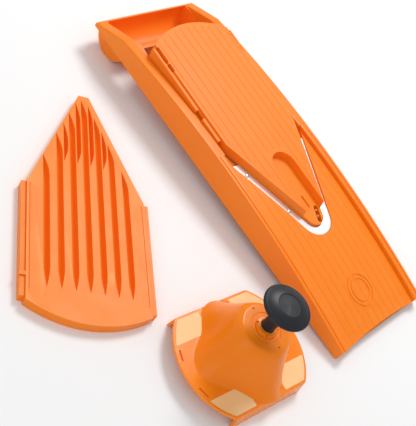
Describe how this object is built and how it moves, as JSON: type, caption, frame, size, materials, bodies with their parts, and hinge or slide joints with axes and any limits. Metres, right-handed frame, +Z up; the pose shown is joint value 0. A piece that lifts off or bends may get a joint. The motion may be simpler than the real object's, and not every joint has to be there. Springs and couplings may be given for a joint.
{
  "type": "mandoline slicer",
  "caption": "V-blade mandoline slicer with a sliding flat insert, a loose julienne insert and a food holder with a push-down plunger.",
  "frame": {"origin": "middle of the set's box, on the table that all the pieces stand on", "axes": "+Z up; +Y along the slicer from its run-out end to its handle trough; +X from the loose accessories to the slicer"},
  "size_m": [0.34, 0.3636, 0.084],
  "materials": {
    "frame_plastic": "glossy moulded plastic with a fine satin grain",
    "insert_plastic": "satin moulded plastic",
    "holder_plastic": "glossy moulded plastic",
    "grip_plastic": "satin black moulded plastic",
    "blade_steel": "polished stainless steel",
    "rivet_steel": "bright stainless steel",
    "foot_rubber": "matt black rubber"
  },
  "bodies": {
    "slicer": {"slicer_frame": "frame_plastic", "foot_left": "foot_rubber", "foot_right": "foot_rubber", "v_blade": "blade_steel", "blade_rivet_1": "rivet_steel", "blade_rivet_2": "rivet_steel", "blade_rivet_3": "rivet_steel", "blade_rivet_4": "rivet_steel"},
    "insert": {"slicing_insert": "insert_plastic"},
    "julienne": {"julienne_insert": "insert_plastic"},
    "holder": {"holder_shell": "holder_plastic", "holder_collar": "holder_plastic"},
    "plunger": {"plunger_stem": "grip_plastic", "plunger_knob": "grip_plastic", "pusher_plate": "grip_plastic", "spike_1": "rivet_steel", "spike_2": "rivet_steel", "spike_3": "rivet_steel", "spike_4": "rivet_steel", "spike_5": "rivet_steel", "spike_6": "rivet_steel"}
  },
  "joints": [
    {"name": "insert_slide", "type": "slide", "parent": "slicer", "child": "insert", "axis": [0, 0.9968, 0.0805], "range_m": [0, 0.055]},
    {"name": "julienne_lift", "type": "slide", "parent": "slicer", "child": "julienne", "axis": [0, 0, 1], "range_m": [0, 0.12]},
    {"name": "holder_lift", "type": "slide", "parent": "slicer", "child": "holder", "axis": [0, 0, 1], "range_m": [0, 0.12]},
    {"name": "plunger_press", "type": "slide", "parent": "holder", "child": "plunger", "axis": [0, 0, -1], "range_m": [0, 0.02]}
  ]
}
